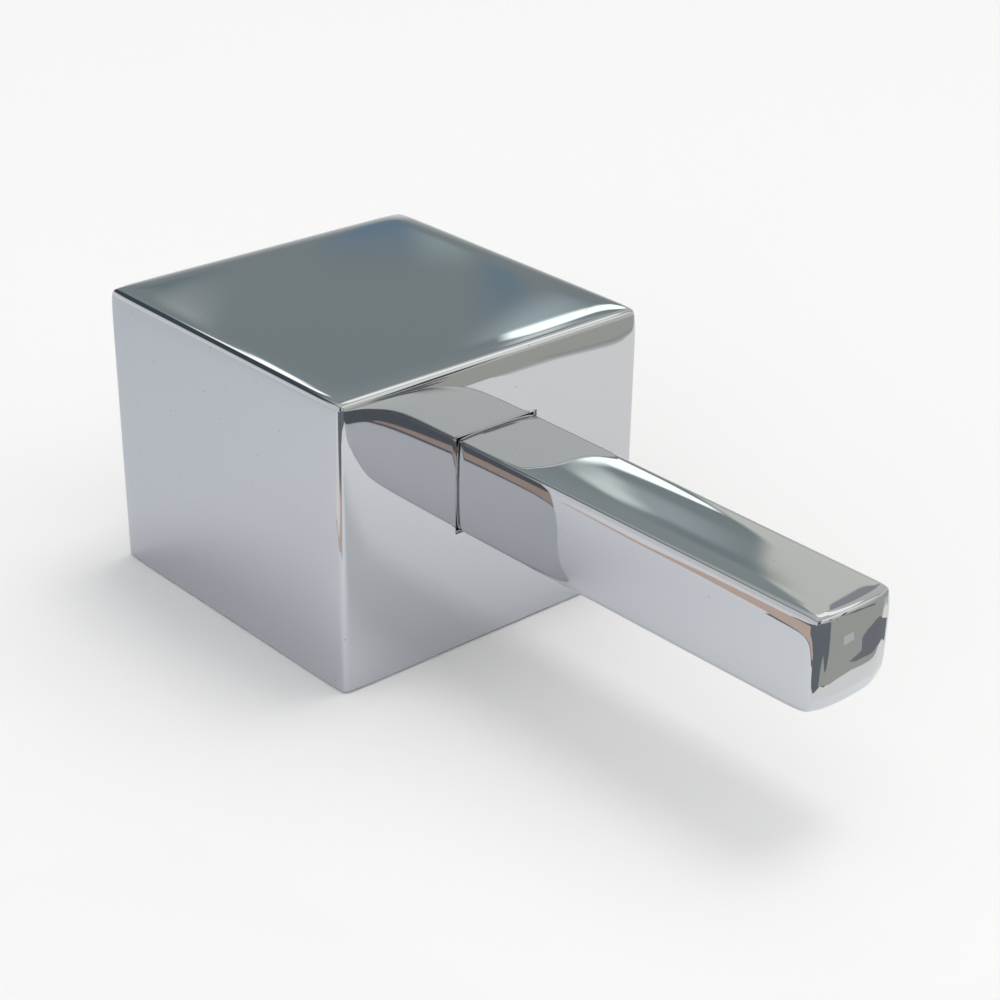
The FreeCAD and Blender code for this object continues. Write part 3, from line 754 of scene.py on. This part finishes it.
# Each patch of the room: middle azimuth and elevation, half width and half height and turn, all in
# degrees (azimuth 0 is +Y and 90 is +X), then the softness of its edge as a share of its size, its colour
# and its brightness.
ROOM_PATCHES = [
    ("left_wall", (-88, 14), (42, 20), 0, 0.15, "#E4E7EA", 1.0),
    ("dark_doorway", (-158, 4), (26, 14), 0, 0.2, "#4A4F5A", 1.0),
    ("dark_beam", (-11, 30), (31, 13), 0, 0.12, "#46535D", 1.0),
    ("dark_gap", (159, 7), (8, 9), 0, 0.3, "#74767A", 1.0),
    ("side_wall", (82, 27), (27, 18), 0, 0.12, "#D3D6CF", 1.0),
    ("side_wall_top", (78, 53.5), (33, 9), 0, 0.12, "#F8FAF7", 1.4),
    ("back_wall_right", (52.5, 33), (4.4, 15), 21, 0.1, "#DFE1DA", 1.0),
    ("back_wall_low", (54.8, 21.5), (4.1, 4.5), 0, 0.1, "#DFE1DA", 1.0),
    ("front_wall_right", (145, 30), (28, 17), 0, 0.15, "#FAFCF9", 1.05),
    ("counter_front", (142, 2), (20, 11), 0, 0.15, "#D4D4CC", 1.0),
    ("dark_cupboard", (144, 5), (1.4, 12), 15, 0.4, "#4C535C", 1.0),
    ("dim_corner", (47.5, 29.5), (1.8, 1.8), 21, 0.8, "#8A9599", 1.0),
    ("pale_band", (46.3, 26.8), (2.2, 0.9), 22, 0.8, "#B0BBBE", 1.0),
    ("blue_picture", (38.3, 17.8), (1.5, 2.0), 0, 0.6, "#788EA0", 1.0),
    ("pale_frame", (40.3, 19.4), (0.8, 0.7), 0, 0.9, "#9DADB0", 1.0),
    ("blue_frame", (41.9, 20.6), (0.7, 0.9), 0, 0.9, "#7C909C", 1.0),
    ("dim_shelf", (31.8, 19.9), (1.6, 0.9), 0, 0.8, "#7D8C92", 1.0),
    ("window_halo", (42.9, 22.0), (1.4, 0.6), -30, 0.9, "#B0C0C6", 1.0),
    ("pale_shelf", (32, 22.8), (0.7, 2.0), 35, 0.8, "#A9B2B2", 1.0),
    ("window_glow", (44.9, 26.7), (0.8, 1.1), -20, 0.7, "#E8F4F1", 1.0),
    ("ceiling_lamp", (31.8, 28.0), (1.2, 0.9), -35, 0.5, "#FFFFFF", 1.8),
    ("ceiling_tube", (27.5, 32.5), (5.5, 2.4), -28, 0.3, "#FFFDF8", 1.7),
]
# Shapes in the room that aren't rectangles, laid over the patches: the corners in the same degrees,
# clockwise and convex, then the softness of the edge in degrees, the colour and the brightness.
ROOM_SHAPES = [
    ("shelf_shadow", [(52, 31.2), (53.6, 38), (55.2, 40), (59.5, 35.5), (60.8, 27), (60.5, 15),
                      (57.6, 15), (53.8, 28.4)], 0.5, "#9FA2A8", 1.0),
    ("window_left", [(42.1, 22.6), (42.9, 24.7), (44, 25.4), (44.8, 25.1), (46, 23.8), (46.8, 21),
                     (44.7, 21.8)], 0.3, "#F4FFFA", 1.75),
    ("window_right", [(44.9, 21.7), (45.8, 24.1), (50.3, 22.2), (50.4, 20.5), (49.5, 19.2),
                      (46.8, 19.2)], 0.3, "#F4FFFA", 1.75),
]
ROOM_BY_HEIGHT = [  # elevation in degrees, colour
    (-90, "#DCDDE2"), (0, "#EDEEF1"), (11, "#E6E8E9"), (17, "#8C9596"), (24, "#8C979A"),
    (32, "#9AA4A5"), (44, "#99A2A3"), (58, "#CBCFCE"), (90, "#DADDDC"),
]


def lay_over(tree, under, mask, code, level):
    """Lays one colour of some brightness over another where the mask is 1."""
    return add_node(tree, "ShaderNodeMix", {"data_type": "RGBA"}, {7: dimmed(linear(code), level)},
                    {0: mask, 6: under}).outputs[2]


def inside_shape(tree, spot, corners, soft):
    """A mask that is 1 inside a convex shape and falls off over its soft edges."""
    mask = None
    for (x, y), (x_next, y_next) in zip(corners, corners[1:] + corners[:1]):
        run, rise = x_next - x, y_next - y
        size = math.hypot(run, rise)
        across = (rise / size, -run / size, 0)
        depth = add_node(tree, "ShaderNodeVectorMath", {"operation": "DOT_PRODUCT"}, {1: across}, {0: spot})
        edge = across[0] * x + across[1] * y
        side = add_node(tree, "ShaderNodeMapRange", {"interpolation_type": "SMOOTHSTEP"},
                        {"From Min": edge - soft, "From Max": edge + soft},
                        {"Value": depth.outputs["Value"]})
        if mask is None:
            mask = side.outputs["Result"]
        else:
            mask = add_node(tree, "ShaderNodeMath", {"operation": "MULTIPLY"}, None,
                            {0: mask, 1: side.outputs["Result"]}).outputs["Value"]
    return mask


def make_world():
    """The room around the table: pale near the horizon, dim above it, with a few lit walls and a window."""
    world = bpy.data.worlds.new("Room light")
    bpy.context.scene.world = world
    world.use_nodes = True
    tree = world.node_tree
    tree.nodes.clear()
    way = add_node(tree, "ShaderNodeTexCoord")
    parts = add_node(tree, "ShaderNodeSeparateXYZ", None, None, {"Vector": way.outputs["Generated"]})
    turn = add_node(tree, "ShaderNodeMath", {"operation": "ARCTAN2"}, None,
                    {0: parts.outputs["X"], 1: parts.outputs["Y"]})
    azimuth = add_node(tree, "ShaderNodeMath", {"operation": "DEGREES"}, None, {0: turn.outputs["Value"]})
    rise = add_node(tree, "ShaderNodeMath", {"operation": "ARCSINE"}, None, {0: parts.outputs["Z"]})
    elevation = add_node(tree, "ShaderNodeMath", {"operation": "DEGREES"}, None, {0: rise.outputs["Value"]})
    spot = add_node(tree, "ShaderNodeCombineXYZ", None, None,
                    {"X": azimuth.outputs["Value"], "Y": elevation.outputs["Value"]})
    share = add_node(tree, "ShaderNodeMapRange", None, {"From Min": -90.0, "From Max": 90.0},
                     {"Value": elevation.outputs["Value"]})
    ramp = add_node(tree, "ShaderNodeValToRGB", None, None, {"Fac": share.outputs["Result"]})
    stops = ramp.color_ramp.elements
    stops.remove(stops[1])
    for number, (height, code) in enumerate(ROOM_BY_HEIGHT):
        stop = stops[0] if number == 0 else stops.new((height + 90) / 180)
        stop.position, stop.color = (height + 90) / 180, linear(code)
    colour = ramp.outputs["Color"]
    for name, middle, reach, tilt, soft, code, level in ROOM_PATCHES:
        centred = add_node(
            tree, "ShaderNodeMapping", {"vector_type": "TEXTURE", "label": name},
            {"Location": (*middle, 0), "Rotation": (0, 0, math.radians(tilt)), "Scale": (*reach, 1)},
            {"Vector": spot.outputs["Vector"]})
        away = add_node(tree, "ShaderNodeVectorMath", {"operation": "ABSOLUTE"}, None,
                        {0: centred.outputs["Vector"]})
        inside = add_node(
            tree, "ShaderNodeMapRange", {"data_type": "FLOAT_VECTOR", "interpolation_type": "SMOOTHSTEP"},
            {7: (1 + soft, 1 + soft, 1), 8: (1 - soft, 1 - soft, 0)}, {6: away.outputs["Vector"]})
        both = add_node(tree, "ShaderNodeSeparateXYZ", None, None, {"Vector": inside.outputs["Vector"]})
        mask = add_node(tree, "ShaderNodeMath", {"operation": "MULTIPLY"}, None,
                        {0: both.outputs["X"], 1: both.outputs["Y"]})
        colour = lay_over(tree, colour, mask.outputs["Value"], code, level)
    for name, corners, soft, code, level in ROOM_SHAPES:
        mask = inside_shape(tree, spot.outputs["Vector"], corners, soft)
        colour = lay_over(tree, colour, mask, code, level)
    background = add_node(tree, "ShaderNodeBackground", None, {"Strength": 1.0}, {"Color": colour})
    add_node(tree, "ShaderNodeOutputWorld", None, None, {"Surface": background.outputs["Background"]})


def make_lamp(name, azimuth, elevation, distance, size, power):
    """A soft light in a direction from the handle, facing it, which the metal doesn't mirror."""
    a, e = math.radians(azimuth), math.radians(elevation)
    way = Vector((math.sin(a) * math.cos(e), math.cos(a) * math.cos(e), math.sin(e)))
    bpy.ops.object.light_add(type="AREA", location=way * distance)
    lamp = bpy.context.object
    lamp.name = name
    lamp.rotation_euler = way.to_track_quat("Z", "Y").to_euler()
    lamp.data.shape = "RECTANGLE"
    lamp.data.size, lamp.data.size_y = size
    lamp.data.energy = power
    lamp.visible_glossy = False


def make_lamps(setup):
    """A broad soft light overhead, a smaller one high on the right and a weak one from the left front."""
    make_lamp("overhead_softbox", 0, 90, 1.3, (3.0, 3.0), setup.softbox_power)
    make_lamp("right_softbox", 100, 74, 1.5, (0.5, 0.5), setup.key_power)
    make_lamp("left_softbox", -130, 24, 2.2, (1.8, 1.0), setup.fill_power)


# Cards that lie on the table and show only in the metal, some of them painted shadows: name, corners in mm,
# colour.
WHITE_PAPER = [(-20, -18), (-20, 160), (-400, 160), (-400, 12), (-52, 8), (-44, -38), (-37, -79),
               (0, -80), (20, -74), (20, -18)]
PAPER_LIT, PAPER_SHADED = "#FAFAFE", "#DADBE3"
PAPER_FADE = (-60, 85)  # between these places along y, in mm, the paper falls into the shade
CARD_LIFT = 0.05  # mm from one card up to the next
TABLE_CARDS = [
    ("dark_cloth_left", [(-46, -30), (-72, -20), (-400, -20), (-400, -700), (80, -700), (45, -190),
                         (30, -125), (20, -99), (5, -91), (-18, -88), (-36, -78)], "#6E737B"),
    ("table_edging", [(-48, 6), (-48, -7), (-50, -17), (-50, -27), (-45, -38), (-42, -55), (-38, -78),
                      (-40, -78), (-45, -66), (-50, -55), (-56, -45), (-70, -38), (-64, -27), (-60, -20),
                      (-56, -14), (-51, -7), (-49, 6)], "#DBC0B3"),
    # Painted shade: graded sheets along the front edge of the grey cloth, lighter outside it and darkest
    # just inside it, stand in for the soft shadow at that edge.
    ("cloth_edge_shade_light", [(50, -75), (60, -75.5), (75, -69.5), (90, -66.5), (150, -57.5), (150, -63),
                            (90, -72), (75, -75), (60, -81), (48, -80)], "#D2D4D5"),
    ("cloth_edge_shade_mid", [(49, -76), (60, -77), (75, -71), (90, -68), (150, -59), (150, -63),
                            (90, -72), (75, -75), (60, -81), (48, -80)], "#BDBFC0"),
    ("grey_cloth_front", [(5.3, -92), (22, -86), (35, -76), (48, -77), (60, -78.5), (75, -72.5),
                          (90, -69.5), (150, -60.5), (500, -40), (500, -700), (70, -700), (34, -190),
                          (22, -148), (17.5, -130), (14, -118), (11.6, -107), (10.8, -104), (9.7, -100),
                          (8.3, -98), (6.8, -96), (6.2, -94)], "#B3B2AC"),
    # Painted shade: the darkest band of the soft shadow, just inside the grey cloth's edge.
    ("cloth_edge_shade_dark", [(62, -79), (75, -74), (90, -71), (150, -62), (150, -66), (90, -75), (75, -78),
                    (62, -84)], "#A5A8A7"),
    ("folded_note", [(23, -93), (27, -91), (29, -94), (25, -96)], "#CACFD0"),
    # Painted shadow: a dark sheet along the grey cloth's edge between x 22 and 42 mm, standing in for the
    # soft shadow at that edge.
    ("cloth_edge_shadow_near", [(22.5, -88.6), (27.5, -86.6), (29.5, -88.4), (33, -88), (38, -86.5), (40.6, -83.5),
                   (41.2, -78), (41.5, -70), (36.5, -70.5), (33, -79), (27, -84.6), (24, -86.8)],
     "#7A7C82"),
    ("cupboard_shadow", [(56, -106), (62, -108), (84, -147), (127, -197), (200, -300), (155, -290),
                         (108, -205), (73, -145)], "#5E6566"),
]


def shade_paper(material, shader):
    """Lets the white paper fall off into the shade towards the back."""
    tree = material.node_tree
    place = add_node(tree, "ShaderNodeTexCoord")
    parts = add_node(tree, "ShaderNodeSeparateXYZ", None, None, {"Vector": place.outputs["Object"]})
    share = add_node(tree, "ShaderNodeMapRange", None,
                     {"From Min": PAPER_FADE[0] * MM, "From Max": PAPER_FADE[1] * MM},
                     {"Value": parts.outputs["Y"]})
    both = add_node(tree, "ShaderNodeMix", {"data_type": "RGBA"},
                    {6: linear(PAPER_LIT), 7: linear(PAPER_SHADED)}, {0: share.outputs["Result"]})
    tree.links.new(both.outputs[2], shader.inputs["Base Color"])


def make_card(name, corners, level, material):
    """A flat card a little above the floor, which the camera itself doesn't see."""
    mesh = bpy.data.meshes.new(name)
    height = RIM_HEIGHT + CARD_LIFT * level
    mesh.from_pydata([(x * MM, y * MM, height * MM) for x, y in corners], [], [list(range(len(corners)))])
    card = bpy.data.objects.new(name, mesh)
    bpy.context.collection.objects.link(card)
    mesh.materials.append(material)
    card.visible_camera = card.visible_diffuse = card.visible_shadow = False


def make_cards():
    """The paper under the handle with its painted shade, the table's edge, the cloths beyond it and the
    painted shadows on them.
    """
    material, shader = matt_sheet("White paper", linear(PAPER_LIT), 0.8)
    shade_paper(material, shader)
    make_card("white_paper", WHITE_PAPER, 1, material)
    for level, (name, corners, code) in enumerate(TABLE_CARDS, start=2):
        make_card(name, corners, level, matt_sheet(name, linear(code), 0.8)[0])


class TAPHANDLE_OT_studio(bpy.types.Operator):
    """Set up the floor, the lights and the camera"""
    bl_idname = "tap_handle.studio"
    bl_label = "Studio"

    def execute(self, context):
        setup = context.scene.tap_handle_studio
        context.scene.view_settings.view_transform = "Standard"
        make_camera()
        make_floor(setup)
        make_cards()
        make_world()
        make_lamps(setup)
        return {"FINISHED"}


class TAPHANDLE_PT_panel(bpy.types.Panel):
    """Lists the steps that build the handle"""
    bl_idname = "TAPHANDLE_PT_panel"
    bl_label = "Tap Handle"
    bl_space_type = "VIEW_3D"
    bl_region_type = "UI"
    bl_category = "Tap Handle"

    def draw(self, context):
        scene = context.scene
        for group in (scene.tap_handle_shape, scene.tap_handle_finish, scene.tap_handle_studio):
            for name in group.__annotations__:
                self.layout.prop(group, name)
        for step in STEPS:
            self.layout.operator(step.bl_idname)


STEPS = (TAPHANDLE_OT_studio, TAPHANDLE_OT_housing, TAPHANDLE_OT_lever, TAPHANDLE_OT_bush,
         TAPHANDLE_OT_screws)
GROUPS = {
    "tap_handle_shape": HandleShape,
    "tap_handle_finish": HandleFinish,
    "tap_handle_studio": StudioSetup,
}


def register():
    for item in (*GROUPS.values(), *STEPS, TAPHANDLE_PT_panel):
        bpy.utils.register_class(item)
    for name, group in GROUPS.items():
        setattr(bpy.types.Scene, name, PointerProperty(type=group))


def unregister():
    for name in GROUPS:
        delattr(bpy.types.Scene, name)
    for item in reversed((*GROUPS.values(), *STEPS, TAPHANDLE_PT_panel)):
        bpy.utils.unregister_class(item)


def main():
    """Builds everything."""
    register()
    bpy.ops.tap_handle.studio()
    bpy.ops.tap_handle.housing()
    bpy.ops.tap_handle.lever()
    bpy.ops.tap_handle.bush()
    bpy.ops.tap_handle.screws()


if __name__ == "__main__":
    main()
